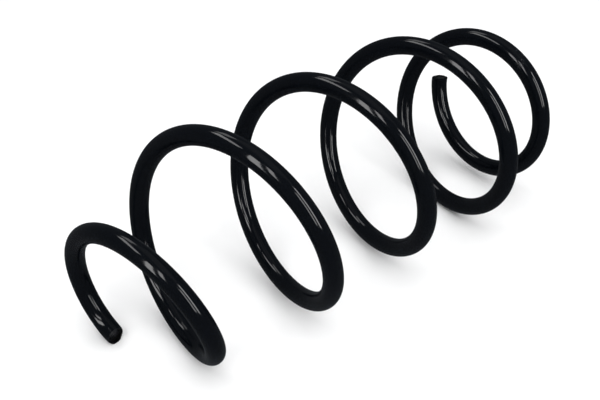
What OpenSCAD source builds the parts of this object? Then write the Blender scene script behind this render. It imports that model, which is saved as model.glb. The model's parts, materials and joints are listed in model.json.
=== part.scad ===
// Suspension coil spring for a strut: one round bar wound right-handed. Its axis is
// bowed, as on springs that take side load off the strut, and each end is a smaller
// coil set off centre. The bar is divided into short stretches that each twist a
// little against the next, as the real bar twists along its length when it is pressed.

/* [Bar] */
// Diameter of the round bar
bar_d = 13; // [9:0.5:16]
// Clear space between two stretches of the bar
cut_gap = 0.05; // [0.02:0.01:0.2]
// Clear space where the stretches that twist from below meet those from above
meeting_gap = 0.5; // [0.3:0.1:1]

/* [Middle coils] */
// Mean diameter of the middle coils
coil_d = 137; // [115:1:165]
// Rise of the bar in each turn of the middle coils
pitch = 88; // [60:1:106]
// Turns of the bar from tip to tip
turns = 5.2; // [5:0.1:6.4]

/* [Bow of the axis] */
// Angle between the seats of the two ends, in degrees
bow = 11.5; // [2:0.5:16]
// Direction in which the top leans, in degrees from X towards Y
bow_towards = -47; // [-180:1:180]

/* [How it lies] */
// Turn of the spring about its own axis that brings its resting side down, in degrees
side_down = 16.6; // [10:0.2:24]
// How far its top end dips as it rests on that side, in degrees
top_dips = 1.7; // [0:0.1:4]

/* [Lower pigtail] */
// Radius of the bar's path at the lower tip
lower_tip_r = 40; // [34:1:70]
// Radius half a turn above the lower tip
lower_half_r = 49; // [40:1:70]
// Radius one turn above the lower tip
lower_turn_r = 64; // [50:1:80]
// How far the pigtail's centre lies off the spring's axis, along X
lower_shift_x = 41; // [0:1:50]
// How far the pigtail's centre lies off the spring's axis, along Y
lower_shift_y = 21; // [0:1:40]
// Turns of the lower end that lie flat on the seat
lower_flat = 0.2; // [0.1:0.05:0.5]
// Rise per turn three quarters of a turn above the lower tip
lower_lift_pitch = 75; // [50:1:110]
// Rise per turn one turn above the lower tip
lower_turn_pitch = 61; // [50:1:110]

/* [Upper pigtail] */
// Radius of the bar's path at the upper tip
upper_tip_r = 65; // [40:1:80]
// Radius half a turn below the upper tip
upper_half_r = 49; // [44:1:80]
// Radius one turn below the upper tip
upper_turn_r = 65; // [50:1:80]
// Rise per turn at the upper tip
upper_tip_pitch = 4; // [2:1:30]
// Rise per turn half a turn below the upper tip
upper_half_pitch = 43; // [30:1:60]
// Rise per turn one turn below the upper tip
upper_turn_pitch = 64; // [40:1:90]

/* [Hidden] */
$fn = 48;
coil_r = coil_d / 2;
// Turns from each tip to where the middle coils' radius and pitch are reached
radius_taper = 2;
pitch_taper = 1.5;
// How far each arc runs past its cuts before they trim it, in degrees
run_on = 6;
// The cuts lean by this share of the bar's slope, so that each stretch turns in its cut
cut_lean = 0.2;
// The cut where the two chains of stretches meet, counted from the lower tip
meeting_cut = 19;
// Places on the bar that are measured to find the ground under the laid spring
laid_places = 1300;
// Size of the blocks that trim a stretch, larger than anything they have to cover
reach = 2 * coil_d;

// The places along the bar, in turns from the lower tip, where its radius is set
radius_at = [
  0, 0.5, 1, radius_taper,
  turns - radius_taper, turns - 1, turns - 0.5, turns
];
radius_of = [
  lower_tip_r, lower_half_r, lower_turn_r, coil_r,
  coil_r, upper_turn_r, upper_half_r, upper_tip_r
];
// The places where its rise per turn is set
rise_at = [
  0, lower_flat, 0.75, 1, pitch_taper,
  turns - pitch_taper, turns - 1, turns - 0.5, turns
];
rise_of = [
  0, 0, lower_lift_pitch, lower_turn_pitch, pitch,
  pitch, upper_turn_pitch, upper_half_pitch, upper_tip_pitch
];

NODES = [
  "lower_tip", "lower_seat_a", "lower_seat_b", "lower_seat_c",
  "lower_lift_a", "lower_lift_b",
  "coil_2_a", "coil_2_b", "coil_2_c", "coil_2_d", "coil_2_e", "coil_2_f",
  "coil_3_a", "coil_3_b", "coil_3_c", "coil_3_d", "coil_3_e", "coil_3_f",
  "coil_4_a", "coil_4_b", "coil_4_c", "coil_4_d", "coil_4_e", "coil_4_f",
  "upper_drop_a", "upper_drop_b", "upper_drop_c", "upper_drop_d",
  "upper_seat_c", "upper_seat_b", "upper_seat_a", "upper_tip"
];
stretch_turns = turns / len(NODES);

// Which pair of places a point of the bar lies between
function span(t, at, i = 0) =
  i >= len(at) - 2 || t < at[i + 1] ? i : span(t, at, i + 1);
// The slope of the radius at a place: level where the middle coils begin and end
function radius_slope(i) =
  let (before = max(i - 1, 0))
  let (after = min(i + 1, len(radius_at) - 1))
  radius_of[i] == coil_r ? 0 :
  (radius_of[after] - radius_of[before]) / (radius_at[after] - radius_at[before]);
// A smooth curve from a to b over a width w, leaving at slope p and arriving at slope q
function ease(u, w, a, b, p, q) =
  a * (1 + 2 * u) * pow(1 - u, 2) + b * u * u * (3 - 2 * u)
  + w * (p * u * pow(1 - u, 2) - q * u * u * (1 - u));
// The bar's distance from the spring's axis
function radius(t) =
  let (i = span(t, radius_at))
  let (w = radius_at[i + 1] - radius_at[i])
  ease((t - radius_at[i]) / w, w, radius_of[i], radius_of[i + 1],
    radius_slope(i), radius_slope(i + 1));
// The bar's rise per turn, which changes evenly between places
function rise_per_turn(t) =
  let (i = span(t, rise_at))
  let (u = (t - rise_at[i]) / (rise_at[i + 1] - rise_at[i]))
  rise_of[i] + u * (rise_of[i + 1] - rise_of[i]);
function height_at_place(i) =
  i == 0 ? 0 :
  height_at_place(i - 1)
  + (rise_at[i] - rise_at[i - 1]) * (rise_of[i] + rise_of[i - 1]) / 2;
// The bar's height along the spring's axis
function height(t) =
  let (i = span(t, rise_at))
  height_at_place(i) + (t - rise_at[i]) * (rise_of[i] + rise_per_turn(t)) / 2;
// How much of the lower pigtail's shift is left: all of it at the tip, none above the taper
function shift_left(t) =
  let (u = min(max(t / pitch_taper, 0), 1))
  1 - u * u * (3 - 2 * u);
// The radius of the arc that the spring's axis follows
bow_r = height(turns) / (bow * PI / 180);
// A point on the centre line of the bar, in the spring's own frame, which stands upright
// with Z from one end of its axis to the other: first on a straight spring, then bowed
function on_bar(t) =
  let (x = radius(t) * cos(360 * t) + shift_left(t) * lower_shift_x)
  let (y = radius(t) * sin(360 * t) + shift_left(t) * lower_shift_y)
  let (out = x * cos(bow_towards) + y * sin(bow_towards))
  let (aside = y * cos(bow_towards) - x * sin(bow_towards))
  let (turned = bow * (height(t) / height(turns) - 0.5))
  let (bent_out = bow_r - (bow_r - out) * cos(turned))
  [
    bent_out * cos(bow_towards) - aside * sin(bow_towards),
    bent_out * sin(bow_towards) + aside * cos(bow_towards),
    (bow_r - out) * sin(turned)
  ];

// The same point once the spring is laid on its side, top end towards X
function laid(p) =
  let (out = p.x * cos(side_down) - p.y * sin(side_down))
  let (aside = p.x * sin(side_down) + p.y * cos(side_down))
  [
    p.z * cos(top_dips) - out * sin(top_dips),
    aside,
    -out * cos(top_dips) - p.z * sin(top_dips)
  ];
// The laid bar at many places, which gives the box it fills and so the ground and the middle
laid_path = [for (i = [0 : laid_places]) laid(on_bar(turns * i / laid_places))];
laid_x = [for (p = laid_path) p.x];
laid_y = [for (p = laid_path) p.y];
laid_z = [for (p = laid_path) p.z];
middle_x = (min(laid_x) + max(laid_x)) / 2;
middle_y = (min(laid_y) + max(laid_y)) / 2;
ground_z = min(laid_z) - bar_d / 2;

// The direction in which the bar runs at a point: round the axis, and how steeply it climbs
small_step = 0.001;
function run(t) = on_bar(t + small_step) - on_bar(t - small_step);
function heading(t) = let (r = run(t)) atan2(r.y, r.x);
function climb(t) = let (r = run(t)) atan2(r.z, norm([r.x, r.y]));

// Everything ahead of, or behind, a plane that crosses the bar at cut k
module side_of_cut(k, ahead) {
  t = k * stretch_turns;
  gap = k == meeting_cut ? meeting_gap : cut_gap;
  translate(on_bar(t))
    rotate([0, -cut_lean * climb(t), heading(t)])
      translate([ahead ? gap / 2 : -reach - gap / 2, -reach / 2, -reach / 2])
        cube(reach);
}

// One stretch of round bar: an arc of the circle through three points of the centre line,
// trimmed by planes across the bar. It runs from cut k to the next one.
module stretch(k) {
  start = on_bar(k * stretch_turns);
  a = on_bar((k + 0.5) * stretch_turns) - start;
  b = on_bar((k + 1) * stretch_turns) - start;
  n = cross(a, b);
  to_centre = (cross(n, a) * (b * b) + cross(b, n) * (a * a)) / (2 * (n * n));
  arc_r = norm(to_centre);
  centre = start + to_centre;
  // The arc's own axes: x from its centre to the start, z square to its plane
  x_axis = -to_centre / arc_r;
  z_axis = n / norm(n);
  y_axis = cross(z_axis, x_axis);
  from_centre = b - to_centre;
  sweep = atan2(from_centre * y_axis, from_centre * x_axis);
  intersection() {
    multmatrix([
      [x_axis.x, y_axis.x, z_axis.x, centre.x],
      [x_axis.y, y_axis.y, z_axis.y, centre.y],
      [x_axis.z, y_axis.z, z_axis.z, centre.z]
    ])
      rotate([0, 0, -run_on])
        rotate_extrude(angle = sweep + 2 * run_on)
          translate([arc_r, 0])
            circle(d = bar_d);
    side_of_cut(k, true);
    side_of_cut(k + 1, false);
  }
}

// The stretch that has place k in NODES, in black coating, laid with the rest of the spring:
// it lies on the ground at Z = 0, with the middle of its box over the origin
module bar_stretch(k) {
  color([0.07, 0.07, 0.08])
    translate([-middle_x, -middle_y, -ground_z])
      rotate([0, 90 + top_dips, 0])
        rotate([0, 0, side_down])
          stretch(k);
}

for (k = [0 : len(NODES) - 1])
  bar_stretch(k);
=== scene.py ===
import json
from math import atan2, cos, pi, radians, sin, tan

import bmesh
import bpy
from mathutils import Matrix, Vector


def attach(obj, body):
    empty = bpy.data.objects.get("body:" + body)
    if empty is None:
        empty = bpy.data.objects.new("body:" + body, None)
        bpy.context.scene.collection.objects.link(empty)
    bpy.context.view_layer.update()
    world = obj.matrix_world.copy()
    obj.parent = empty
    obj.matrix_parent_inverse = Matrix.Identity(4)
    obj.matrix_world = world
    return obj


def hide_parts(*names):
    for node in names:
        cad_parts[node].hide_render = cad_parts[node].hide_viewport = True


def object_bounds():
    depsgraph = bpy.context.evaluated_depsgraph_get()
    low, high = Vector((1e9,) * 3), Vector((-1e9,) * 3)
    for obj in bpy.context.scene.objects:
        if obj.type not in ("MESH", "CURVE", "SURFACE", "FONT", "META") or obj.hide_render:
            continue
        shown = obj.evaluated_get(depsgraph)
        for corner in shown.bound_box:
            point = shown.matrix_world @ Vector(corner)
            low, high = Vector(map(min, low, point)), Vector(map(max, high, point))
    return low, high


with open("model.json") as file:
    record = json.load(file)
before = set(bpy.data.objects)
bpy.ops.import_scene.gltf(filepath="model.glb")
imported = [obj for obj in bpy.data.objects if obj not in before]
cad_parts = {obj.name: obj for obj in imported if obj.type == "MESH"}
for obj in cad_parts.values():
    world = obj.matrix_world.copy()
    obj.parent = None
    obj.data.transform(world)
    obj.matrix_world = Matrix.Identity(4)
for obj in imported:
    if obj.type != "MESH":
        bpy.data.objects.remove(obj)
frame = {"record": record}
cad_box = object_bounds()

# ---------------------------------------------------------------------------
# The bar
# One round bar of spring steel, wound right-handed. Its axis is bowed to carry side load, and both
# ends close in to smaller coils. Sizes are in millimetres.

BAR_D = 13.0
TURNS = 5.2
# Mean radius and rise per turn of the middle coils
COIL_R = 68.5
PITCH = 88.0
# Angle between the seats of the two ends, and where the top leans
BOW = radians(11.5)
BOW_TOWARDS = radians(-47.0)
# Places along the bar, in turns from the lower tip, with its radius and its rise per turn there
RADIUS_AT = (0, 0.5, 1, 2, TURNS - 2, TURNS - 1, TURNS - 0.5, TURNS)
RADIUS_OF = (40, 49, 64, COIL_R, COIL_R, 65, 49, 65)
RISE_AT = (0, 0.2, 0.75, 1, 1.5, TURNS - 1.5, TURNS - 1, TURNS - 0.5, TURNS)
RISE_OF = (0, 0, 75, 61, PITCH, PITCH, 64, 43, 4)
# How far the lower pigtail lies off the axis, and the turns over which that fades
LOWER_SHIFT = (41.0, 21.0)
LOWER_SHIFT_FADES = 1.5
# How the spring lies: the side that is down, and the dip of its top end
SIDE_DOWN = radians(16.6)
TOP_DIPS = radians(1.7)
# Places that are measured to find the ground under it
SAMPLES = 1300
# The bar twists in this many stretches, at seams that lean by a share of its slope
STRETCHES = 32
SEAMS = [TURNS * k / STRETCHES for k in range(1, STRETCHES)]
CUT_LEAN = 0.2
SEAM_GAP = 0.02
# The core that bridges the seam where the two chains of stretches meet. Its reach is turned into
# an angle at the small lower tip, so in the wider coil where it is used it comes to 5.2 mm
CORE_BODY = "coil_4_a"
CORE_D = 12.2
CORE_REACH = 3.0
# Length at each end that is shaped by the shear
SHEARED = 8.0
# Points round the bar, and rings in one stretch
AROUND = 72
STEPS = 40
# A step along the bar, in turns, that is small enough to give its direction
SMALL = 0.001


def span(t, places):
    """Which pair of places a point of the bar lies between."""
    i = 0
    while i < len(places) - 2 and t >= places[i + 1]:
        i += 1
    return i


def radius_slope(i):
    """Slope of the radius at a place, level where the middle coils begin and end."""
    if RADIUS_OF[i] == COIL_R:
        return 0.0
    before = max(i - 1, 0)
    after = min(i + 1, len(RADIUS_AT) - 1)
    return (RADIUS_OF[after] - RADIUS_OF[before]) / (RADIUS_AT[after] - RADIUS_AT[before])


def radius(t):
    """Distance of the bar from the spring's axis, a smooth curve from place to place."""
    i = span(t, RADIUS_AT)
    w = RADIUS_AT[i + 1] - RADIUS_AT[i]
    u = (t - RADIUS_AT[i]) / w
    level = RADIUS_OF[i] * (1 + 2 * u) * (1 - u) ** 2 + RADIUS_OF[i + 1] * u * u * (3 - 2 * u)
    slopes = radius_slope(i) * u * (1 - u) ** 2 - radius_slope(i + 1) * u * u * (1 - u)
    return level + w * slopes


def height(t):
    """Height of the bar along the spring's axis. Its rise per turn changes evenly."""
    i = span(t, RISE_AT)
    total = 0.0
    for j in range(i):
        total += (RISE_AT[j + 1] - RISE_AT[j]) * (RISE_OF[j] + RISE_OF[j + 1]) / 2
    u = (t - RISE_AT[i]) / (RISE_AT[i + 1] - RISE_AT[i])
    rise = RISE_OF[i] + u * (RISE_OF[i + 1] - RISE_OF[i])
    return total + (t - RISE_AT[i]) * (RISE_OF[i] + rise) / 2


BOW_R = height(TURNS) / BOW


def upright(t):
    """Centre of the bar in the spring's own frame, Z from one end of its axis to the other."""
    u = min(max(t / LOWER_SHIFT_FADES, 0), 1)
    shift = 1 - u * u * (3 - 2 * u)
    x = radius(t) * cos(2 * pi * t) + shift * LOWER_SHIFT[0]
    y = radius(t) * sin(2 * pi * t) + shift * LOWER_SHIFT[1]
    out = x * cos(BOW_TOWARDS) + y * sin(BOW_TOWARDS)
    aside = y * cos(BOW_TOWARDS) - x * sin(BOW_TOWARDS)
    turned = BOW * (height(t) / height(TURNS) - 0.5)
    bent = BOW_R - (BOW_R - out) * cos(turned)
    return Vector((
        bent * cos(BOW_TOWARDS) - aside * sin(BOW_TOWARDS),
        bent * sin(BOW_TOWARDS) + aside * cos(BOW_TOWARDS),
        (BOW_R - out) * sin(turned),
    ))


LAY = Matrix.Rotation(pi / 2 + TOP_DIPS, 3, "Y") @ Matrix.Rotation(SIDE_DOWN, 3, "Z")
laid = [LAY @ upright(TURNS * i / SAMPLES) for i in range(SAMPLES + 1)]
SHIFT = Vector((
    -(min(p.x for p in laid) + max(p.x for p in laid)) / 2,
    -(min(p.y for p in laid) + max(p.y for p in laid)) / 2,
    BAR_D / 2 - min(p.z for p in laid),
))


def centre(t):
    """Centre of the bar on the laid spring, in metres."""
    return (LAY @ upright(t) + SHIFT) / 1000


def heading(t):
    """Direction of the bar on the laid spring."""
    return (centre(t + SMALL) - centre(t - SMALL)).normalized()


SPRING_AXIS = LAY @ Vector((0, 0, 1))


def ring_at(t, seam):
    """Matrix that brings a circle in the XY plane to the bar at t. At a seam between two
    stretches the circle lies in the plane in which they twist against each other."""
    along = heading(t)
    plane = along
    if seam:
        level = (along - along.dot(SPRING_AXIS) * SPRING_AXIS).normalized()
        climb = atan2(along.dot(SPRING_AXIS), along.dot(level))
        plane = level * cos(CUT_LEAN * climb) + SPRING_AXIS * sin(CUT_LEAN * climb)
    side = along.cross(SPRING_AXIS).normalized()
    top = side.cross(along)
    columns = [edge - along * edge.dot(plane) / along.dot(plane) for edge in (side, top)]
    turn = Matrix((columns[0], columns[1], along)).transposed()
    return Matrix.Translation(centre(t)) @ turn.to_4x4()


def face_out(bm, ring, t, layer):
    """Notes on each point of a ring which way is square to the bar, for even gloss."""
    along = heading(t)
    for v in ring:
        out = v.co - centre(t)
        v[layer] = (out - out.dot(along) * along).normalized()


def finish_bar(bm, name, material):
    """Turns a bmesh into an object whose round sides are shaded square to the bar."""
    bmesh.ops.recalc_face_normals(bm, faces=bm.faces)
    mesh = bpy.data.meshes.new(name)
    bm.to_mesh(mesh)
    bm.free()
    outward = [Vector(a.vector) for a in mesh.attributes["outward"].data]
    gloss = []
    for face in mesh.polygons:
        face.use_smooth = True
        for v in face.vertices:
            flat_cap = len(face.vertices) == AROUND
            known = outward[v].length > 0.5 and not flat_cap
            rounded = mesh.vertex_normals[v].vector
            gloss.append(outward[v] if known else (face.normal if flat_cap else rounded))
    mesh.normals_split_custom_set(gloss)
    mesh.materials.append(material)
    piece = bpy.data.objects.new(name, mesh)
    bpy.context.collection.objects.link(piece)
    return piece


def grow(bm, edges, here, there):
    """Extrudes the open ring of edges by one step along the bar."""
    grown = bmesh.ops.extrude_edge_only(bm, edges=edges)["geom"]
    ring = [g for g in grown if isinstance(g, bmesh.types.BMVert)]
    bmesh.ops.transform(bm, matrix=there @ here.inverted(), verts=ring)
    return ring, [g for g in grown if isinstance(g, bmesh.types.BMEdge)]


def seam_gap(t):
    """Half the hairline, in metres, that keeps two lengths from rubbing as they twist."""
    return SEAM_GAP / 2000 if t in SEAMS else 0.0


def bar_length(name, first, last, material, core=0.0):
    """A closed length of bar. It starts and ends at a seam, or SHEARED short of a bar end. A
    core is a slightly thinner run of the same bar inside the next length, so that no daylight
    shows where the gap between two lengths opens a little as the spring is pressed."""
    bm = bmesh.new()
    layer = bm.verts.layers.float_vector.new("outward")
    ring = bmesh.ops.create_circle(bm, segments=AROUND, radius=BAR_D / 2000)["verts"]
    here = Matrix.Translation(heading(first) * seam_gap(first)) @ ring_at(first, first in SEAMS)
    bmesh.ops.transform(bm, matrix=here, verts=ring)
    face_out(bm, ring, first, layer)
    edges = list(bm.edges)
    bmesh.ops.contextual_create(bm, geom=edges)
    steps = round((last - first) / TURNS * STRETCHES * STEPS)
    for i in range(1, steps):
        t = first + (last - first) * i / steps
        there = ring_at(t, False)
        ring, edges = grow(bm, edges, here, there)
        face_out(bm, ring, t, layer)
        here = there
    there = Matrix.Translation(-heading(last) * seam_gap(last)) @ ring_at(last, last in SEAMS)
    ring, edges = grow(bm, edges, here, there)
    face_out(bm, ring, last, layer)
    here = there
    if core:
        for t in (last, last + core):
            there = ring_at(t, t == last) @ Matrix.Scale(CORE_D / BAR_D, 4)
            ring, edges = grow(bm, edges, here, there)
            face_out(bm, ring, t, layer)
            here = there
    bmesh.ops.contextual_create(bm, geom=edges)
    return finish_bar(bm, name, material)


def linear(code):
    """An sRGB hex colour as linear red, green, blue and alpha."""
    parts = [int(code[i:i + 2], 16) / 255 for i in (1, 3, 5)]
    return [c / 12.92 if c <= 0.04045 else ((c + 0.055) / 1.055) ** 2.4 for c in parts] + [1.0]


def put(tree, kind, inputs, **fields):
    """Adds a node. Each input is another node's output or a plain value."""
    node = tree.nodes.new("ShaderNode" + kind)
    for key, value in fields.items():
        setattr(node, key, value)
    for key, value in inputs.items():
        if isinstance(value, bpy.types.NodeSocket):
            tree.links.new(value, node.inputs[key])
        else:
            node.inputs[key].default_value = value
    return node


# Places, in turns from the lower tip, where the coat is marked, and how far each mark reaches
# from the middle of the bar. The second barely reaches the surface, which is 6.5 mm out
HOOK_MARK = (4.516, 11.0)
RUB_MARK = (0.594, 7.0)


def powder_coat():
    """Gloss black epoxy powder, baked on. It flows out almost level and leaves a fine orange
    peel, so a highlight stays sharp along the bar and shivers a little at its edges."""
    mat = bpy.data.materials.new("gloss black powder coat")
    mat.use_nodes = True
    tree = mat.node_tree
    tree.nodes.clear()
    place = put(tree, "TexCoord", {}).outputs["Object"]
    # Orange peel: swells about 2.5 mm across, a little coarser than real so that they show
    peel = put(tree, "TexNoise", {
        "Vector": place, "Scale": 1 / 0.0025, "Detail": 2.0, "Roughness": 0.45})
    swell = put(tree, "Bump", {
        "Height": peel.outputs["Fac"], "Strength": 1.0, "Distance": 0.000016})
    # Shot peening shows through the film as dimples under a millimetre wide
    peened = put(tree, "TexNoise", {"Vector": place, "Scale": 1 / 0.0008, "Detail": 1.0})
    dimple = put(tree, "Bump", {
        "Height": peened.outputs["Fac"], "Normal": swell.outputs["Normal"],
        "Strength": 1.0, "Distance": 0.0000022})
    # The film is thicker in some places and glossier there, over 20 to 30 mm
    film = put(tree, "TexNoise", {"Vector": place, "Scale": 1 / 0.026, "Detail": 3.0})
    gloss = put(tree, "MapRange", {
        "Value": film.outputs["Fac"], "From Min": 0.3, "From Max": 0.7,
        "To Min": 0.06, "To Max": 0.12})
    # The hook that held the spring in the oven, and a neighbour in the crate, left broken marks
    flake = put(tree, "TexNoise", {
        "Vector": place, "Scale": 1 / 0.0045, "Detail": 5.0, "Roughness": 0.7})
    chipped = put(tree, "MapRange", {
        "Value": flake.outputs["Fac"], "From Min": 0.56, "From Max": 0.62})
    zone = 0.0
    for turns, reach in (HOOK_MARK, RUB_MARK):
        away = put(tree, "VectorMath", {0: place, 1: centre(turns)}, operation="DISTANCE")
        inside = put(tree, "MapRange", {
            "Value": away.outputs["Value"], "From Min": reach / 2000, "From Max": reach / 1000,
            "To Min": 1.0, "To Max": 0.0})
        zone = put(tree, "Math", {0: inside.outputs["Result"], 1: zone},
                   operation="MAXIMUM").outputs[0]
    scuff = put(tree, "Math", {0: chipped.outputs["Result"], 1: zone}, operation="MULTIPLY")
    # Dust that has settled on the coat: pale specks about half a millimetre across, far apart
    speck = put(tree, "TexVoronoi", {"Vector": place, "Scale": 1 / 0.012})
    dust = put(tree, "MapRange", {
        "Value": speck.outputs["Distance"], "From Min": 0.015, "From Max": 0.025,
        "To Min": 0.5, "To Max": 0.0})
    marks = put(tree, "Math", {0: scuff.outputs[0], 1: dust.outputs["Result"]},
                operation="MAXIMUM")
    relief = put(tree, "Bump", {
        "Height": scuff.outputs[0], "Normal": dimple.outputs["Normal"],
        "Strength": 1.0, "Distance": 0.00012})
    rough = put(tree, "MapRange", {
        "Value": marks.outputs[0], "To Min": gloss.outputs["Result"], "To Max": 0.45})
    colour = put(tree, "MixRGB", {
        "Fac": marks.outputs[0], "Color1": linear("#05070b"), "Color2": linear("#33363c")})
    coat = put(tree, "BsdfPrincipled", {
        "Base Color": colour.outputs["Color"], "Roughness": rough.outputs["Result"],
        "Normal": relief.outputs["Normal"], "IOR": 1.5})
    put(tree, "OutputMaterial", {"Surface": coat.outputs["BSDF"]})
    return mat


black_coat = powder_coat()
bodies = frame["record"]["behaviour"]["bodies"]
in_order = [n["node"] for n in frame["record"]["subparts"]]
# Length of the bar in a turn, in metres, at its two ends
END_STEP = 0.01
arc = (centre(END_STEP) - centre(0)).length / END_STEP
arc_top = (centre(TURNS) - centre(TURNS - END_STEP)).length / END_STEP
sheared_low = SHEARED / 1000 / arc
sheared_top = TURNS - SHEARED / 1000 / arc_top
for body, nodes in bodies.items():
    k = min(in_order.index(n) for n in nodes)
    first = SEAMS[k - 1] if k > 0 else sheared_low
    last = SEAMS[k + len(nodes) - 1] if k + len(nodes) < STRETCHES else sheared_top
    core = CORE_REACH / 1000 / arc if body == CORE_BODY else 0.0
    piece = bar_length("bar_" + body, first, last, black_coat, core)
    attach(piece, body)
    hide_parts(*nodes)

# ---------------------------------------------------------------------------
# The sheared ends
# The bar is cropped at both ends. The blade drags the steel along: it rolls one edge over,
# pulls the other out into a burr, and leaves a broken face, which the coating covers thinly.

# How much wider the blade crushes the bar, as a share, and how far from the face that begins
CRUSH = 0.05
DRAGGED = 6.0
# How far the edge is rolled back, and how far the burr stands out along and across the bar
ROLLED = 0.9
BURR = 1.7
FLARE = 0.9
# Height of the ridges on the broken face, and how closely they follow each other on X, Y and Z
BREAK = 0.28
RIDGES = (2900, 2300, 2600)
# The broken face is what lies inside this share of the full width
FACE_SHARE = 0.93
# Rings from the round bar to the face: distance left to the face, and share of full width
RINGS = (
    (6.0, 1.0), (5.2, 1.0), (4.4, 0.999), (3.6, 0.998), (2.8, 0.996), (2.1, 0.992),
    (1.4, 0.985), (0.8, 0.97), (0.4, 0.95), (0.15, 0.925), (0.03, 0.89), (0.0, 0.85),
    (0.05, 0.7), (0.12, 0.55), (0.18, 0.4), (0.2, 0.2),
)


def cropped_face():
    """Powder coat over a broken steel face: it covers thinly, so the break shows as a dull
    grain and the high spots look grey."""
    mat = bpy.data.materials.new("powder coat on sheared steel")
    mat.use_nodes = True
    tree = mat.node_tree
    tree.nodes.clear()
    place = put(tree, "TexCoord", {}).outputs["Object"]
    # The break runs in ridges about a millimetre apart across the face
    grain = put(tree, "TexNoise", {
        "Vector": place, "Scale": 1 / 0.0011, "Detail": 6.0, "Roughness": 0.65})
    relief = put(tree, "Bump", {
        "Height": grain.outputs["Fac"], "Strength": 1.0, "Distance": 0.00025})
    high = put(tree, "MapRange", {
        "Value": grain.outputs["Fac"], "From Min": 0.45, "From Max": 0.7})
    colour = put(tree, "MixRGB", {
        "Fac": high.outputs["Result"], "Color1": linear("#0b0c0f"), "Color2": linear("#24262b")})
    coat = put(tree, "BsdfPrincipled", {
        "Base Color": colour.outputs["Color"], "Normal": relief.outputs["Normal"],
        "Roughness": 0.42, "IOR": 1.5})
    put(tree, "OutputMaterial", {"Surface": coat.outputs["BSDF"]})
    return mat


def sheared_end(name, t_start, t_face, drag, material):
    """The last few millimetres of the bar: round at first, flattened at the face. Drag is 1
    where the blade dragged the steel away from the spring's axis and -1 where towards it."""
    bm = bmesh.new()
    layer = bm.verts.layers.float_vector.new("outward")
    ring = bmesh.ops.create_circle(bm, segments=AROUND, radius=BAR_D / 2000)["verts"]
    here = ring_at(t_start, False)
    bmesh.ops.transform(bm, matrix=here, verts=ring)
    face_out(bm, ring, t_start, layer)
    edges = list(bm.edges)
    bmesh.ops.contextual_create(bm, geom=edges)
    per_mm = (t_face - t_start) / SHEARED
    outward = heading(t_face) * (1 if t_face > t_start else -1)
    pulls = []
    for left, share in RINGS:
        t = t_face - left * per_mm
        ring, edges = grow(bm, edges, here, here)
        near_face = max(0.0, 1 - left / DRAGGED)
        wide = share * (1 + CRUSH * near_face ** 2)
        there = ring_at(t, False) @ Matrix.Diagonal((wide, share * 2 - wide, 1, 1))
        bmesh.ops.transform(bm, matrix=there @ here.inverted(), verts=ring)
        if share == 1.0:
            face_out(bm, ring, t, layer)
        side = (there.to_3x3() @ Vector((drag, 0, 0))).normalized()
        for v in ring:
            lean = (v.co - centre(t)).dot(side) / (BAR_D / 2000)
            along = BURR * max(lean, 0) ** 3 - ROLLED * max(-lean, 0) ** 2
            if share < FACE_SHARE:
                waves = [sin(v.co[i] * RIDGES[i] + i) for i in range(3)]
                along += BREAK * waves[0] * waves[1] * waves[2]
            across = FLARE * max(lean, 0) ** 2 * near_face ** 2
            pull = outward * along * near_face ** 1.5 + side * across
            pulls.append((v, pull / 1000))
        here = there
    bmesh.ops.contextual_create(bm, geom=edges)
    # The burr is pressed flat where the spring lies on it
    for v, pull in pulls:
        v.co += pull
        v.co.z = max(v.co.z, cad_box[0][2])
    piece = finish_bar(bm, name, black_coat)
    piece.data.materials.append(material)
    # Whatever faces the way the bar ends, to within about 40 degrees, is broken steel
    for face in piece.data.polygons:
        if face.normal.dot(outward) > 0.75:
            face.material_index = 1
    return piece


cropped = cropped_face()
lower_end = sheared_end("sheared_end_lower", sheared_low, 0.0, 1, cropped)
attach(lower_end, "lower_end_coil")
upper_end = sheared_end("sheared_end_upper", sheared_top, TURNS, -1, cropped)
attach(upper_end, "upper_end_coil")

# ---------------------------------------------------------------------------
# The floor
# A wide sheet of matt white paper. The spring lies on it on its one stable side.

# Length of its sides, in metres
FLOOR = 12.0


def white_paper():
    """Matt white paper, even and without gloss. Its tooth is too fine to see."""
    mat = bpy.data.materials.new("matt white paper")
    mat.use_nodes = True
    tree = mat.node_tree
    tree.nodes.clear()
    place = put(tree, "TexCoord", {}).outputs["Object"]
    # Fibres make soft clouds a few centimetres wide, just under what the eye notices
    cloud = put(tree, "TexNoise", {"Vector": place, "Scale": 1 / 0.03, "Detail": 3.0})
    tone = put(tree, "MixRGB", {
        "Fac": cloud.outputs["Fac"], "Color1": linear("#f6f6f6"), "Color2": linear("#f9f9f9")})
    paper = put(tree, "BsdfPrincipled", {"Base Color": tone.outputs["Color"], "Roughness": 0.9})
    put(tree, "OutputMaterial", {"Surface": paper.outputs["BSDF"]})
    return mat


bm = bmesh.new()
bmesh.ops.create_grid(bm, x_segments=1, y_segments=1, size=FLOOR / 2)
floor_mesh = bpy.data.meshes.new("floor")
bm.to_mesh(floor_mesh)
bm.free()
floor_mesh.materials.append(white_paper())
floor = bpy.data.objects.new("floor", floor_mesh)
bpy.context.collection.objects.link(floor)
# The coat would mirror the whole sheet as a bright haze, so the sheet is kept out of the gloss
floor.visible_glossy = False

# ---------------------------------------------------------------------------
# The light
# A dim room with tall strip softboxes on two sides, a wide one and a small one behind, and a soft
# ceiling. The black coat mirrors the strips as long thin lines, and the room as a faint cool
# sheen. Two wide fills, kept out of the gloss, light the floor evenly and soften the shadows.

# Brightness and tint of the room, and how far the softboxes stand from the spring, in metres
ROOM = 0.07
ROOM_TINT = (0.86, 0.92, 1.0, 1)
AWAY = 1.5
middle = Vector((0.0, 0.0, (cad_box[0][2] + cad_box[1][2]) / 2))


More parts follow.
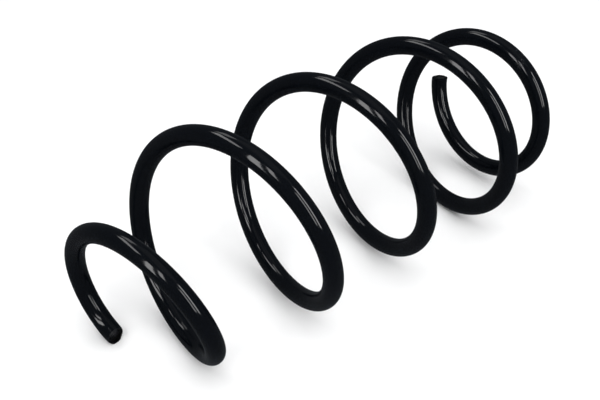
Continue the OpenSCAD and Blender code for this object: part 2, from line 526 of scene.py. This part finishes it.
def softbox(name, azimuth, elevation, wide, tall, radiance, tilt=0.0, seen=True):
    """A rectangular softbox that faces the middle of the spring. Its place, width, height and
    tilt about its own middle are in degrees. Seen says whether the coat mirrors it."""
    light = bpy.data.lights.new(name, "AREA")
    light.shape = "RECTANGLE"
    light.size = 2 * AWAY * tan(radians(wide) / 2)
    light.size_y = 2 * AWAY * tan(radians(tall) / 2)
    light.energy = radiance * pi * light.size * light.size_y
    lamp = bpy.data.objects.new(name, light)
    level = cos(radians(elevation))
    way = Vector((cos(radians(azimuth)) * level, sin(radians(azimuth)) * level,
                  sin(radians(elevation))))
    lamp.location = middle + way * AWAY
    facing = (-way).to_track_quat("-Z", "Y").to_matrix() @ Matrix.Rotation(radians(tilt), 3, "Z")
    lamp.rotation_euler = facing.to_euler()
    lamp.visible_glossy = seen
    bpy.context.collection.objects.link(lamp)


softbox("right strip", -80, 25, 9, 42, 6.0, tilt=-8)
softbox("middle strip", -103, 20, 7, 34, 5.0)
softbox("left strip", -173, 24, 9, 40, 5.0, tilt=-14)
softbox("left hind strip", -151, 35, 7, 26, 4.5, tilt=-20)
softbox("back softbox", 140, 57, 38, 10, 3.5)
softbox("side softbox", 78, 58, 16, 16, 1.6)
softbox("ceiling", -20, 76, 60, 40, 0.1)
softbox("overhead fill", -30, 80, 100, 90, 1.3, seen=False)
softbox("front fill", -130, 55, 50, 40, 1.3, seen=False)

room = bpy.data.worlds.new("room")
room.use_nodes = True
sky = room.node_tree.nodes["Background"]
sky.inputs["Color"].default_value = ROOM_TINT
sky.inputs["Strength"].default_value = ROOM
bpy.context.scene.world = room
bpy.context.scene.view_settings.view_transform = "Standard"

# ---------------------------------------------------------------------------
# The camera
# It stands off the small lower end, to one side, a little less high above the ground than it is
# far away, and looks down along the spring.

LENS = 50.885
SENSOR = 36.0
EYE_AT = (-0.3474, -0.3418, 0.4073)
EYE_TURNED = (radians(54.056), radians(0.43), radians(-42.176))

eye = bpy.data.cameras.new("camera")
eye.sensor_width = SENSOR
eye.lens = LENS
camera = bpy.data.objects.new("camera", eye)
camera.location = EYE_AT
camera.rotation_euler = EYE_TURNED
bpy.context.collection.objects.link(camera)
bpy.context.scene.camera = camera
